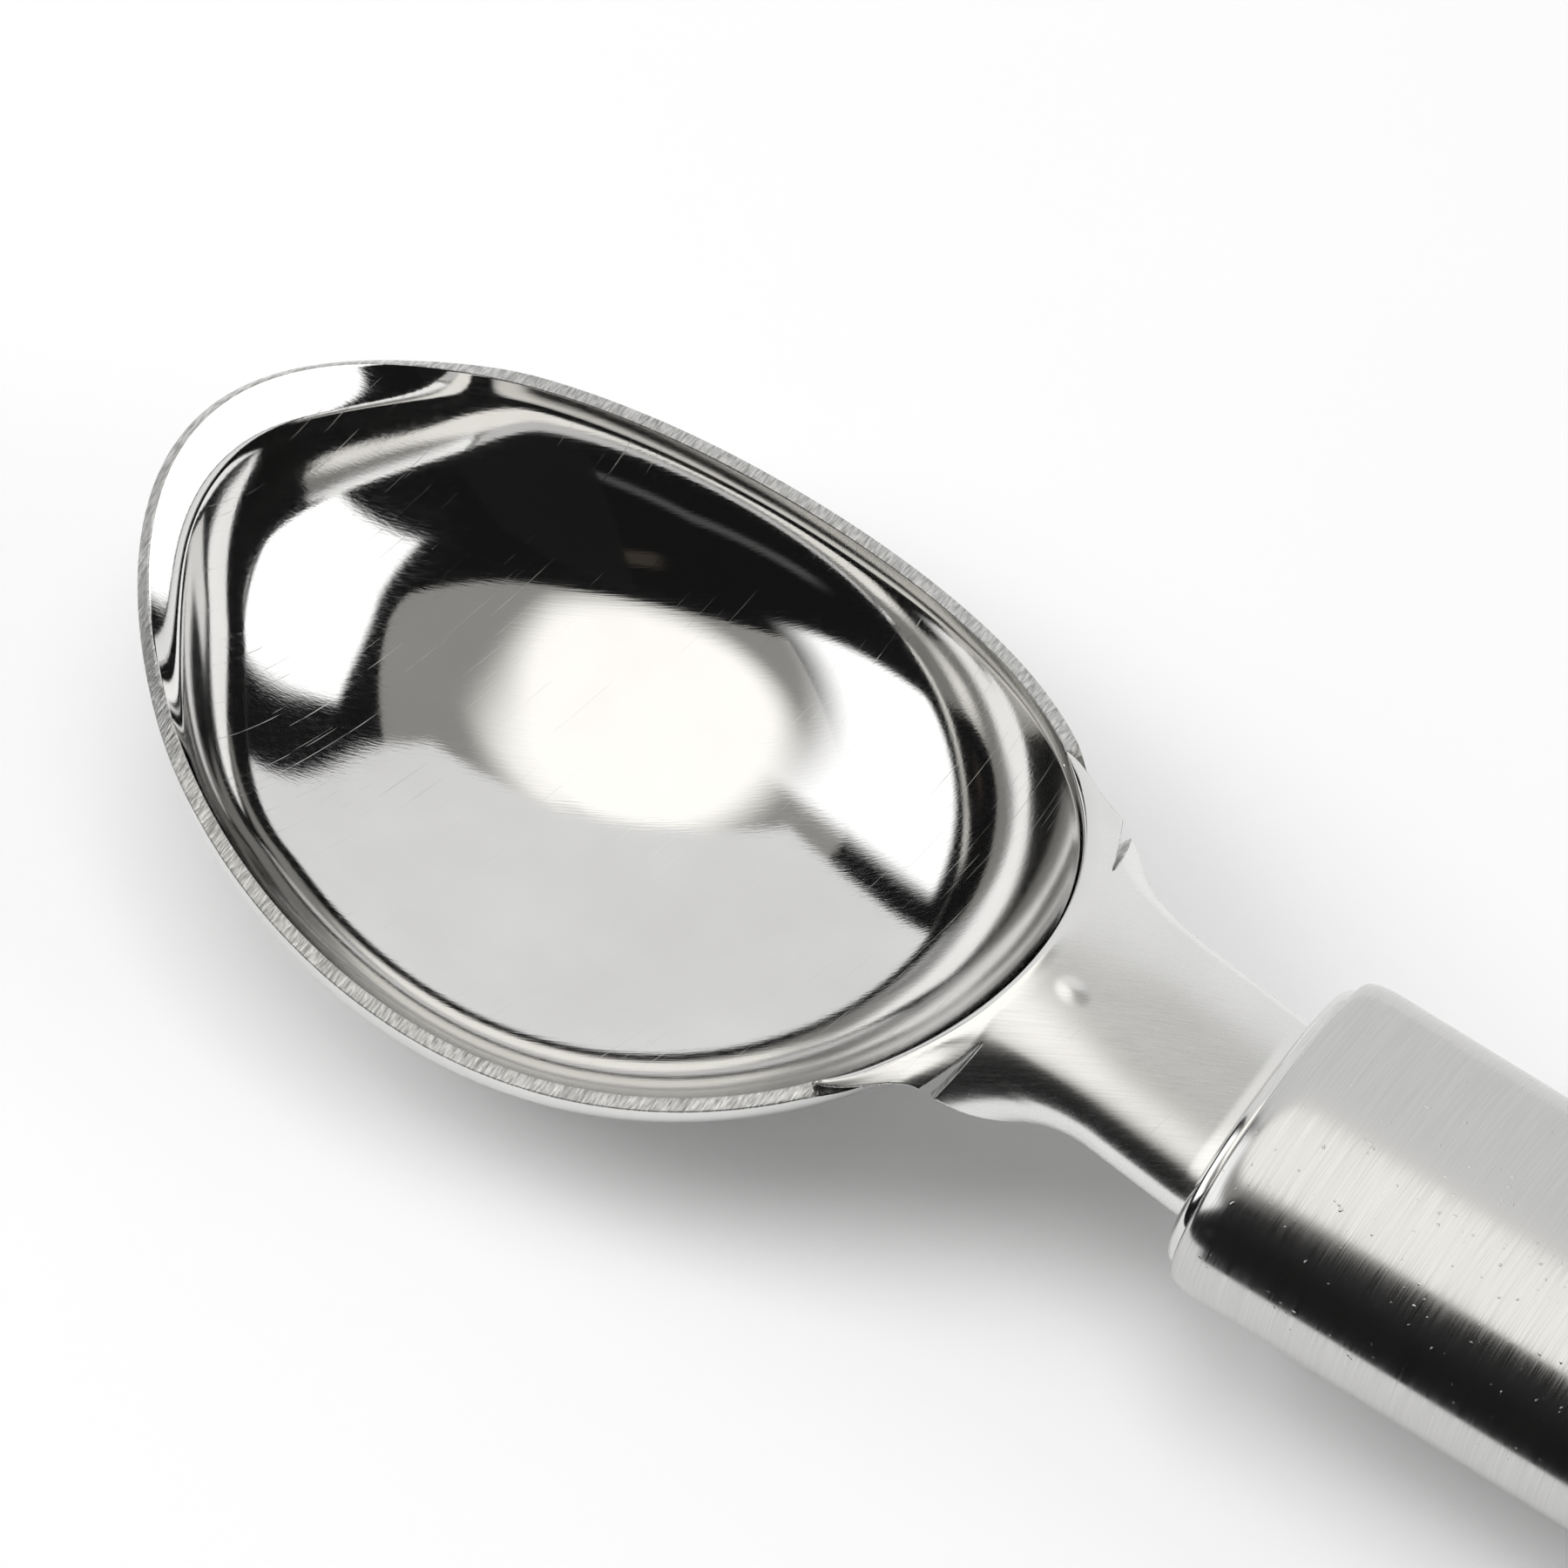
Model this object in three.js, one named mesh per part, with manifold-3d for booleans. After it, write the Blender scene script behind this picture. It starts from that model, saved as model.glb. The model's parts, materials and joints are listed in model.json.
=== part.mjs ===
// Ice cream scoop: an oval steel bowl and neck pressed from one sheet, in an oval tube handle.
// Millimetres, +Z up, lying at rest on z = 0 with the handle running towards +X.

import * as THREE from 'three';
import { mergeVertices } from 'three/addons/utils/BufferGeometryUtils.js';
import Module from 'manifold-3d';

const wasm = await Module();
wasm.setup();

// Fits
const CLEARANCE = 0.3;

// Pressed sheet
const SHEET = 1.0;

// Bowl, seen from above: an oval whose widest place lies between the tip and the ridge
const BOWL_HALF_WIDTH = 22.9;
const BOWL_TIP_LENGTH = 32.4;
const BOWL_BACK_LENGTH = 31.0;
const BOWL_TIP_POINT = 1.05;

// Heights of the rim and of the inside of the bowl above the handle's axis
const RIM_TIP_HEIGHT = 3.7;
const RIM_SIDE_HEIGHT = -4.4;
const RIDGE_HEIGHT = 5.2;
const BOWL_FLOOR_HEIGHT = -14.9;

// The bowl's section: a shallow dish over a share of its length, then a tighter bend up into the wall
const BOWL_DISH_SHARE = 0.57;
const BOWL_DISH_TURN = THREE.MathUtils.degToRad(22.5);
const BOWL_WALL_TURN = THREE.MathUtils.degToRad(68);
const BOWL_BLEND = 0.06;

// Lip: flared and broad at the tip, and an upright edge elsewhere
const LIP_TIP = { width: 2.5, rise: 2.6, rootWidth: 0.45, rootRise: 0.9 };
const LIP_SIDE = { width: 0.3, rise: 1.6, rootWidth: 0.2, rootRise: 0.5 };
const LIP_TIP_START = 0.55;
const LIP_TIP_FULL = 0.95;

// Neck: an arch behind the ridge that folds into a flat channel with rolled-in edges
const NECK_LENGTH = 16.3;
const NECK_TOP_HEIGHT = 2.1;
const NECK_LEVEL_LENGTH = 1.0;
const NECK_STRAIGHT_LENGTH = 7.6;
const NECK_FOLD_LENGTH = 11.4;
const NECK_ARCH_ANGLE = THREE.MathUtils.degToRad(27);
const NECK_HALF_WIDTH = 7.9;
const NECK_CROWN_ANGLE = THREE.MathUtils.degToRad(8);
const NECK_CORNER_RADIUS = 2.1;
const NECK_SIDE_FLAT = 0.3;
const NECK_UNDER_ANGLE = THREE.MathUtils.degToRad(75);
const TANG_LENGTH = 20.0;

// Horns: the two ends of the trimmed rim, standing out beside the neck at a notch
const SHOULDER_HALF_SPAN = 14.7;
const HORN_HALF_SPAN = 11.9;
const HORN_HEIGHT = 2.4;
const HORN_SETBACK = 1.3;
const HORN_LEAD = 2.8;
const NOTCH_GAP = 0.9;

// Handle: an oval tube between two caps
const HANDLE_LENGTH = 116.0;
const HANDLE_HALF_WIDTH = 12.0;
const HANDLE_HALF_HEIGHT = 7.3;
const HANDLE_SQUARENESS = 2.25;
const TUBE_WALL = 1.0;
const SHOULDER_LENGTH = 2.2;
const SHOULDER_DROP = 0.6;

// Caps and the collar inside the tube
const CAP_PROUD = 1.0;
const CAP_DEPTH = 3.0;
const CAP_EDGE = 0.9;
const COLLAR_THICKNESS = 3.0;
const COLLAR_FROM_TANG_END = 3.0;

// Hanging hole
const EYELET_BORE_RADIUS = 4.5;
const EYELET_WALL = 0.8;
const EYELET_FROM_REAR = 14.0;

// Fineness of the faceted surfaces
const OVAL_SIDES = 48;
const ROUND_SIDES = 32;
const NECK_COLUMNS = 32;
const NOTCH_COLUMNS = 6;
const RIM_COLUMNS = 50;
const BOWL_ROWS = 12;
const LIP_ROWS = 3;
const RIDGE_ROWS = 4;
const FOLD_ROWS = 9;
const EDGE_ROWS = 4;
const ARC_STEPS = 60;
const TILT_STEPS = 50;

// Places along the handle's axis, with x = 0 at the front cap's face
const ridgeX = -NECK_LENGTH;
const bowlX = ridgeX - BOWL_BACK_LENGTH;
const hornX = ridgeX - HORN_SETBACK;
const levelX = -NECK_LEVEL_LENGTH;
const straightX = -NECK_STRAIGHT_LENGTH;
const foldX = straightX - NECK_FOLD_LENGTH;
const tubeStartX = CAP_PROUD;
const tubeEndX = HANDLE_LENGTH - CAP_PROUD;
const eyeletX = HANDLE_LENGTH - EYELET_FROM_REAR;

// Materials
const polishedSteel = { color: 0xd9d9d6, roughness: 0.06, metalness: 1.0 };
const satinSteel = { color: 0xc9c8c4, roughness: 0.32, metalness: 1.0 };

// Small helpers
function smoothstep(t) {
  const k = THREE.MathUtils.clamp(t, 0, 1);
  return k * k * (3 - 2 * k);
}

function signedPower(value, power) {
  return Math.sign(value) * Math.abs(value) ** power;
}

function geometryFrom(points, triangles) {
  const geometry = new THREE.BufferGeometry();
  geometry.setAttribute('position', new THREE.Float32BufferAttribute(points.flat(), 3));
  geometry.setIndex(triangles.flat());
  return geometry;
}

function quad(a, b, c, d) {
  return [[a, b, c], [a, c, d]];
}

// Closed solids and booleans
function solidFrom(geometry) {
  const bare = geometry.clone();
  bare.deleteAttribute('normal');
  bare.deleteAttribute('uv');
  const merged = mergeVertices(bare, 1e-4);
  return new wasm.Manifold(new wasm.Mesh({
    numProp: 3,
    vertProperties: new Float32Array(merged.attributes.position.array),
    triVerts: new Uint32Array(merged.index.array),
  }));
}

function geometryFromSolid(solid) {
  const mesh = solid.getMesh();
  const geometry = new THREE.BufferGeometry();
  geometry.setAttribute('position', new THREE.BufferAttribute(new Float32Array(mesh.vertProperties), 3));
  geometry.setIndex(new THREE.BufferAttribute(new Uint32Array(mesh.triVerts), 1));
  return geometry;
}

// Normals of a surface at its points, each face counted by its angle there
function surfaceNormals(points, triangles) {
  const corners = points.map((p) => new THREE.Vector3(...p));
  const normals = points.map(() => new THREE.Vector3());
  for (const triangle of triangles) {
    const face = new THREE.Triangle(...triangle.map((i) => corners[i]));
    const faceNormal = face.getNormal(new THREE.Vector3());
    triangle.forEach((i, k) => {
      const toNext = corners[triangle[(k + 1) % 3]].clone().sub(corners[i]);
      const toLast = corners[triangle[(k + 2) % 3]].clone().sub(corners[i]);
      normals[i].addScaledVector(faceNormal, toNext.angleTo(toLast));
    });
  }
  return normals.map((normal) => normal.normalize());
}

// A sheet surface given thickness below itself, with walls around its whole border
function thicken(points, triangles, thickness) {
  const count = points.length;
  const normals = surfaceNormals(points, triangles);
  const lower = points.map((point, i) => {
    return new THREE.Vector3(...point).addScaledVector(normals[i], -thickness).toArray();
  });
  const directedEdges = new Set();
  for (const [a, b, c] of triangles) {
    directedEdges.add(`${a} ${b}`);
    directedEdges.add(`${b} ${c}`);
    directedEdges.add(`${c} ${a}`);
  }
  const faces = [...triangles];
  for (const [a, b, c] of triangles) {
    faces.push([c + count, b + count, a + count]);
  }
  for (const edge of directedEdges) {
    const [a, b] = edge.split(' ').map(Number);
    if (!directedEdges.has(`${b} ${a}`)) {
      faces.push(...quad(b, a, a + count, b + count));
    }
  }
  return geometryFrom([...points, ...lower], faces);
}

// Rim of the bowl at an angle from the neck: the trimmed lip, and the ridge where the neck begins
function rimPoint(angle) {
  const along = Math.cos(angle);
  const across = Math.sin(angle);
  const toTip = along < 0;
  const power = toTip ? BOWL_TIP_POINT : 1;
  const length = toTip ? BOWL_TIP_LENGTH : BOWL_BACK_LENGTH;
  const endHeight = toTip ? RIM_TIP_HEIGHT : RIDGE_HEIGHT;
  const reach = signedPower(along, power);
  return [
    bowlX + length * reach,
    BOWL_HALF_WIDTH * signedPower(across, power),
    RIM_SIDE_HEIGHT + (endHeight - RIM_SIDE_HEIGHT) * reach * reach,
  ];
}

// One size of the lip, by its name, at an angle from the neck
function lipSize(angle, name) {
  const amount = smoothstep((-Math.cos(angle) - LIP_TIP_START) / (LIP_TIP_FULL - LIP_TIP_START));
  return THREE.MathUtils.lerp(LIP_SIDE[name], LIP_TIP[name], amount);
}

// Foot of the lip, where the wall of the bowl turns outwards
function lipFoot(angle) {
  const rim = rimPoint(angle);
  const length = Math.hypot(rim[0] - bowlX, rim[1]);
  const inward = (length - lipSize(angle, 'width')) / length;
  return [bowlX + (rim[0] - bowlX) * inward, rim[1] * inward, rim[2] - lipSize(angle, 'rise')];
}

// Turn of the bowl's section from level, at a share of its length from the floor
function bowlTurn(share) {
  const dish = BOWL_DISH_TURN / BOWL_DISH_SHARE;
  const bend = (BOWL_WALL_TURN - BOWL_DISH_TURN) / (1 - BOWL_DISH_SHARE);
  const eased = BOWL_BLEND * Math.log1p(Math.exp((share - BOWL_DISH_SHARE) / BOWL_BLEND));
  return dish * share + (bend - dish) * eased;
}

function sectionEnd(share) {
  let out = 0;
  let up = 0;
  for (let i = 0; i < ARC_STEPS; i += 1) {
    const turn = bowlTurn(((i + 0.5) / ARC_STEPS) * share);
    out += (share * Math.cos(turn)) / ARC_STEPS;
    up += (share * Math.sin(turn)) / ARC_STEPS;
  }
  return [out, up];
}

function bowlPoint(angle, share) {
  const foot = lipFoot(angle);
  const [fullOut, fullUp] = sectionEnd(1);
  const [out, up] = sectionEnd(share);
  return [
    bowlX + ((foot[0] - bowlX) * out) / fullOut,
    (foot[1] * out) / fullOut,
    BOWL_FLOOR_HEIGHT + ((foot[2] - BOWL_FLOOR_HEIGHT) * up) / fullUp,
  ];
}

function lipPoint(angle, t) {
  const rim = rimPoint(angle);
  const foot = lipFoot(angle);
  const rootOut = lipSize(angle, 'rootWidth') / lipSize(angle, 'width');
  const rootUp = lipSize(angle, 'rootRise') / lipSize(angle, 'rise');
  const out = 2 * t * (1 - t) * rootOut + t * t;
  const up = 2 * t * (1 - t) * rootUp + t * t;
  return [
    foot[0] + (rim[0] - foot[0]) * out,
    foot[1] + (rim[1] - foot[1]) * out,
    foot[2] + (rim[2] - foot[2]) * up,
  ];
}

// Turn of the folded neck's skin from level, at a distance along the skin from its crown
const crownHalf = NECK_HALF_WIDTH - NECK_CORNER_RADIUS * (1 - Math.sin(NECK_CROWN_ANGLE));
const cornerLength = NECK_CORNER_RADIUS * (Math.PI / 2 - NECK_CROWN_ANGLE);
const underLength = NECK_CORNER_RADIUS * NECK_UNDER_ANGLE;
const channelHalf = crownHalf + cornerLength + NECK_SIDE_FLAT + underLength;
const archHalf = (HORN_HALF_SPAN * NECK_ARCH_ANGLE) / Math.sin(NECK_ARCH_ANGLE);

function channelTurn(distance) {
  const corner = THREE.MathUtils.clamp(distance - crownHalf, 0, cornerLength);
  const under = Math.max(distance - crownHalf - cornerLength - NECK_SIDE_FLAT, 0);
  const crown = (Math.min(distance, crownHalf) / crownHalf) * NECK_CROWN_ANGLE;
  return crown + (corner + under) / NECK_CORNER_RADIUS;
}

// Half section of the neck: the skin's place at a share of its width, for an amount of folding
function neckSection(share, fold) {
  const half = THREE.MathUtils.lerp(archHalf, channelHalf, fold);
  const step = (share * half) / ARC_STEPS;
  let y = 0;
  let drop = 0;
  for (let i = 0; i < ARC_STEPS; i += 1) {
    const part = ((i + 0.5) / ARC_STEPS) * share;
    const turn = THREE.MathUtils.lerp(part * NECK_ARCH_ANGLE, channelTurn(part * channelHalf), fold);
    y += step * Math.cos(turn);
    drop += step * Math.sin(turn);
  }
  return [y, drop];
}

// Skin of the neck at a column, from -1 at one edge to 1 at the other
function neckPoint(column, x) {
  const fold = smoothstep((x - foldX) / (straightX - foldX));
  const [y, drop] = neckSection(Math.abs(column), fold);
  const descent = THREE.MathUtils.clamp((x - ridgeX) / (levelX - ridgeX), 0, 1);
  const top = THREE.MathUtils.lerp(RIDGE_HEIGHT, NECK_TOP_HEIGHT, descent);
  return [x, Math.sign(column) * y, top - drop];
}

// Columns beyond the notch's root are cut across, between the horn and the folded side
const shoulderAngle = Math.asin(SHOULDER_HALF_SPAN / BOWL_HALF_WIDTH);
const notchRoot = 1 - (2 * NOTCH_COLUMNS) / NECK_COLUMNS;

function notchReach(column) {
  return Math.max(Math.abs(column) - notchRoot, 0) / (1 - notchRoot);
}

function hornLine(column) {
  return hornX + HORN_LEAD * (1 - column * column);
}

function foldLine(column) {
  return hornLine(column) + NOTCH_GAP * notchReach(column);
}

// Skin between the ridge and the horn line: it leaves the rim's curve, with its edges out at the horns
function shoulderPoint(angle, t) {
  const column = angle / shoulderAngle;
  const side = Math.sign(column);
  const rim = rimPoint(angle);
  const skin = neckPoint(column, THREE.MathUtils.lerp(rim[0], hornLine(column), t));
  const skinAtRidge = neckPoint(column, rim[0]);
  const skinEdge = neckPoint(side, hornX);
  const horn = [hornX, side * HORN_HALF_SPAN, HORN_HEIGHT];
  const held = smoothstep(notchReach(column));
  const ease = smoothstep(t);
  for (const k of [1, 2]) {
    skin[k] += THREE.MathUtils.lerp(rim[k] - skinAtRidge[k], held * (horn[k] - skinEdge[k]), ease);
  }
  return skin;
}

// The bowl's rings are closed around the bowl, and the neck's rows leave from the ridge
function columnAngles() {
  const angles = [];
  for (let i = 0; i <= NECK_COLUMNS; i += 1) {
    angles.push(shoulderAngle * ((2 * i) / NECK_COLUMNS - 1));
  }
  for (let i = 1; i < RIM_COLUMNS; i += 1) {
    angles.push(shoulderAngle + (2 * (Math.PI - shoulderAngle) * i) / RIM_COLUMNS);
  }
  return angles;
}

function bowlAndNeck() {
  const angles = columnAngles();
  const ring = angles.length;
  const points = [[bowlX, 0, BOWL_FLOOR_HEIGHT]];
  const triangles = [];
  for (let i = 1; i <= BOWL_ROWS; i += 1) {
    points.push(...angles.map((angle) => bowlPoint(angle, i / BOWL_ROWS)));
  }
  for (let i = 1; i <= LIP_ROWS; i += 1) {
    points.push(...angles.map((angle) => lipPoint(angle, i / LIP_ROWS)));
  }
  for (let k = 0; k < ring; k += 1) {
    triangles.push([0, 1 + k, 1 + ((k + 1) % ring)]);
  }
  for (let i = 0; i < BOWL_ROWS + LIP_ROWS - 1; i += 1) {
    const inner = 1 + i * ring;
    const outer = inner + ring;
    for (let k = 0; k < ring; k += 1) {
      const next = (k + 1) % ring;
      triangles.push(...quad(inner + k, outer + k, outer + next, inner + next));
    }
  }
  const neckAngles = angles.slice(0, NECK_COLUMNS + 1);
  const columns = neckAngles.map((angle) => angle / shoulderAngle);
  const ridgeStart = 1 + (BOWL_ROWS + LIP_ROWS - 1) * ring;
  let previous = neckAngles.map((_, k) => ridgeStart + k);
  const addPoint = (point) => points.push(point) - 1;
  const addRow = (row) => {
    for (let k = 0; k < NECK_COLUMNS; k += 1) {
      triangles.push(...quad(previous[k], row[k], row[k + 1], previous[k + 1]));
    }
    previous = row;
  };
  for (let i = 1; i <= RIDGE_ROWS; i += 1) {
    addRow(neckAngles.map((angle) => addPoint(shoulderPoint(angle, i / RIDGE_ROWS))));
  }
  const hornRow = previous;
  previous = columns.map((column, k) => {
    return notchReach(column) > 0 ? addPoint(neckPoint(column, foldLine(column))) : hornRow[k];
  });
  for (let i = 1; i <= FOLD_ROWS; i += 1) {
    const t = i / FOLD_ROWS;
    const place = (column) => THREE.MathUtils.lerp(foldLine(column), straightX, t);
    addRow(columns.map((column) => addPoint(neckPoint(column, place(column)))));
  }
  for (const x of [levelX, TANG_LENGTH]) {
    addRow(columns.map((column) => addPoint(neckPoint(column, x))));
  }
  return thicken(points, triangles, SHEET);
}

// Ovals of the handle, and solids lofted through them
function ovalRing(x, inset) {
  const ring = [];
  for (let i = 0; i < OVAL_SIDES; i += 1) {
    const angle = (2 * Math.PI * i) / OVAL_SIDES;
    ring.push([
      x,
      (HANDLE_HALF_WIDTH - inset) * signedPower(Math.cos(angle), 2 / HANDLE_SQUARENESS),
      (HANDLE_HALF_HEIGHT - inset) * signedPower(Math.sin(angle), 2 / HANDLE_SQUARENESS),
    ]);
  }
  return ring;
}

function ringFaces(from, to) {
  const faces = [];
  for (let k = 0; k < OVAL_SIDES; k += 1) {
    const next = (k + 1) % OVAL_SIDES;
    faces.push(...quad(from + k, from + next, to + next, to + k));
  }
  return faces;
}

// A tube through rings that go along the outside and come back along the inside
function loftTube(rings) {
  const faces = [];
  rings.forEach((_, i) => {
    const next = (i + 1) % rings.length;
    faces.push(...ringFaces(i * OVAL_SIDES, next * OVAL_SIDES));
  });
  return geometryFrom(rings.flat(), faces);
}

// A block through rings, closed by a flat face at each end
function loftBlock(rings) {
  const faces = [];
  for (let i = 0; i + 1 < rings.length; i += 1) {
    faces.push(...ringFaces(i * OVAL_SIDES, (i + 1) * OVAL_SIDES));
  }
  const points = rings.flat();
  const startCentre = points.length;
  const endCentre = startCentre + 1;
  points.push([rings[0][0][0], 0, 0], [rings.at(-1)[0][0], 0, 0]);
  const last = (rings.length - 1) * OVAL_SIDES;
  for (let k = 0; k < OVAL_SIDES; k += 1) {
    const next = (k + 1) % OVAL_SIDES;
    faces.push([startCentre, next, k], [endCentre, last + k, last + next]);
  }
  return geometryFrom(points, faces);
}

// Slot that the neck's channel passes through, a clearance off its faces and a sheet past its rolled edges
function neckSlot(fromX, toX) {
  const outer = [];
  const inner = [];
  const steps = 2 * NECK_COLUMNS;
  const half = channelHalf + SHEET;
  for (let i = 0; i <= steps; i += 1) {
    const distance = half * ((2 * i) / steps - 1);
    const side = Math.sign(distance);
    const [y, drop] = neckSection(Math.abs(distance) / channelHalf, 1);
    const turn = channelTurn(Math.abs(distance));
    const out = [side * Math.sin(turn), Math.cos(turn)];
    const place = [side * y, NECK_TOP_HEIGHT - drop];
    outer.push(new THREE.Vector2(place[0] + CLEARANCE * out[0], place[1] + CLEARANCE * out[1]));
    const depth = SHEET + CLEARANCE;
    inner.push(new THREE.Vector2(place[0] - depth * out[0], place[1] - depth * out[1]));
  }
  const shape = new THREE.Shape([...outer, ...inner.reverse()]);
  const geometry = new THREE.ExtrudeGeometry(shape, { depth: toX - fromX, bevelEnabled: false });
  const alongX = new THREE.Matrix4().set(0, 0, 1, fromX, 1, 0, 0, 0, 0, 1, 0, 0, 0, 0, 0, 1);
  return geometry.applyMatrix4(alongX);
}

// Cylinder through the handle from top to bottom, at the hanging hole
function holeCylinder(radius) {
  const height = 2 * (HANDLE_HALF_HEIGHT + SHEET);
  const geometry = new THREE.CylinderGeometry(radius, radius, height, ROUND_SIDES);
  geometry.rotateX(Math.PI / 2);
  return solidFrom(geometry.translate(eyeletX, 0, 0));
}

function handleTube() {
  const outline = [];
  for (let i = 0; i <= EDGE_ROWS; i += 1) {
    const turn = (i / EDGE_ROWS) * (Math.PI / 2);
    const x = SHOULDER_LENGTH * (1 - Math.cos(turn));
    outline.push([x, SHOULDER_DROP * (1 - Math.sin(turn))]);
  }
  const front = outline.map(([x, drop]) => ovalRing(tubeStartX + x, drop));
  const rear = outline.map(([x, drop]) => ovalRing(tubeEndX - x, drop)).reverse();
  const inside = [ovalRing(tubeEndX, TUBE_WALL), ovalRing(tubeStartX, TUBE_WALL)];
  const tube = solidFrom(loftTube([...front, ...rear, ...inside]));
  return geometryFromSolid(tube.subtract(holeCylinder(EYELET_BORE_RADIUS + EYELET_WALL + CLEARANCE)));
}

// Rings of a cap that fits the tube and has a rounded edge around its flat face at x = 0
function capRings() {
  const inset = TUBE_WALL + CLEARANCE;
  const rings = [[CAP_PROUD + CAP_DEPTH, inset]];
  for (let i = 0; i <= EDGE_ROWS; i += 1) {
    const turn = (i / EDGE_ROWS) * (Math.PI / 2);
    rings.push([CAP_EDGE * (1 - Math.sin(turn)), inset + CAP_EDGE * (1 - Math.cos(turn))]);
  }
  return rings;
}

function frontCap() {
  const rings = capRings().map(([x, inset]) => ovalRing(x, inset)).reverse();
  const slot = solidFrom(neckSlot(-CAP_DEPTH, CAP_PROUD + 2 * CAP_DEPTH));
  return geometryFromSolid(solidFrom(loftBlock(rings)).subtract(slot));
}

function rearCap() {
  return loftBlock(capRings().map(([x, inset]) => ovalRing(HANDLE_LENGTH - x, inset)));
}

function tangCollar() {
  const inset = TUBE_WALL + CLEARANCE;
  const endX = TANG_LENGTH - COLLAR_FROM_TANG_END;
  const startX = endX - COLLAR_THICKNESS;
  const block = solidFrom(loftBlock([ovalRing(startX, inset), ovalRing(endX, inset)]));
  const slot = solidFrom(neckSlot(startX - CAP_DEPTH, endX + CAP_DEPTH));
  return geometryFromSolid(block.subtract(slot));
}

function hangingEyelet() {
  const handle = solidFrom(loftBlock([ovalRing(tubeStartX, 0), ovalRing(tubeEndX, 0)]));
  const sleeve = holeCylinder(EYELET_BORE_RADIUS + EYELET_WALL).subtract(holeCylinder(EYELET_BORE_RADIUS));
  return geometryFromSolid(sleeve.intersect(handle));
}

// Assembly, in the handle's own frame
const scoop = new THREE.Group();

function place(name, geometry, finish) {
  geometry.computeVertexNormals();
  const mesh = new THREE.Mesh(geometry, new THREE.MeshStandardMaterial(finish));
  mesh.name = name;
  scoop.add(mesh);
  return mesh;
}

const bowlMesh = place('bowl_and_neck', bowlAndNeck(), polishedSteel);
const tubeMesh = place('handle_tube', handleTube(), satinSteel);
place('front_cap', frontCap(), satinSteel);
place('tang_collar', tangCollar(), satinSteel);
place('rear_cap', rearCap(), satinSteel);
place('hanging_eyelet', hangingEyelet(), satinSteel);

// At rest the bowl's underside and the handle's rear both touch the ground
function lowest(mesh, tilt) {
  const position = mesh.geometry.attributes.position;
  let low = Infinity;
  for (let i = 0; i < position.count; i += 1) {
    low = Math.min(low, position.getZ(i) * Math.cos(tilt) - position.getX(i) * Math.sin(tilt));
  }
  return low;
}

function restTilt() {
  let low = 0;
  let high = Math.PI / 4;
  for (let i = 0; i < TILT_STEPS; i += 1) {
    const tilt = (low + high) / 2;
    if (lowest(tubeMesh, tilt) > lowest(bowlMesh, tilt)) {
      low = tilt;
    } else {
      high = tilt;
    }
  }
  return (low + high) / 2;
}

scoop.rotation.y = restTilt();
scoop.updateMatrixWorld(true);
const box = new THREE.Box3().setFromObject(scoop, true);
const model = new THREE.Group();
model.add(scoop);
scoop.position.set(-(box.min.x + box.max.x) / 2, 0, -box.min.z);

export default model;
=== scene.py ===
"""Looks of an ice cream scoop: a polished pressed bowl and neck in a satin oval tube handle."""

import json
import math

import bmesh
import bpy
import numpy as np
from mathutils import Matrix, Vector
from mathutils.geometry import tessellate_polygon


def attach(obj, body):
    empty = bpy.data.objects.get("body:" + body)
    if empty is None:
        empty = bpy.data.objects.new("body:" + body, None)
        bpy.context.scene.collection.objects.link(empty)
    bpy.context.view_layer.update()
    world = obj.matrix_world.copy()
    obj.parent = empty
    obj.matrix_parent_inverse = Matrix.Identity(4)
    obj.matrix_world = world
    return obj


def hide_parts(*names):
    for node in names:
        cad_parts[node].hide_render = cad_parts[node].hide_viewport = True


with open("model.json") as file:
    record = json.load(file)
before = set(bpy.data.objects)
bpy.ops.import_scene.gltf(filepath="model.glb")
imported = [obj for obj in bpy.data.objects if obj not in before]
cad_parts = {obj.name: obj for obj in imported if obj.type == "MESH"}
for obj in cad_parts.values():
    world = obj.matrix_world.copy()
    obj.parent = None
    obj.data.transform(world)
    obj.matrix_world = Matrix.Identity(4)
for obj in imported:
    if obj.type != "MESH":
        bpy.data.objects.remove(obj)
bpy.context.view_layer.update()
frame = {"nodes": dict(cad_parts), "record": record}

# Millimetres of the handle's own frame, with x = 0 at the front cap's face and z = 0 on the handle's axis
MM = 0.001
SHEET = 1.0

# Bowl
BOWL_HALF_WIDTH = 22.9
BOWL_TIP_LENGTH = 32.4
BOWL_BACK_LENGTH = 31.0
BOWL_TIP_POINT = 0.06
BOWL_TIP_POWER = 3
RIM_BLEND = 0.35
RIM_TIP_HEIGHT = 3.7
RIM_SIDE_HEIGHT = -4.4
RIDGE_HEIGHT = 5.2
BOWL_FLOOR_HEIGHT = -14.9
BOWL_DISH_SHARE = 0.57
BOWL_DISH_TURN = math.radians(22.5)
BOWL_WALL_TURN = math.radians(68)
BOWL_BLEND = 0.06

# Lip, as its width, its rise and those of its root: flared at the tip and upright elsewhere
LIP_TIP = np.array([2.5, 2.6, 0.45, 0.9])
LIP_SIDE = np.array([0.3, 1.6, 0.2, 0.5])
LIP_TIP_START = 0.55
LIP_TIP_FULL = 0.95

# Sheared edge and the crest between the bowl and the neck
EDGE_ROUND = 0.1
CREST_HOLD = 0.8
CREST_SOFTNESS = 0.5

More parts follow.
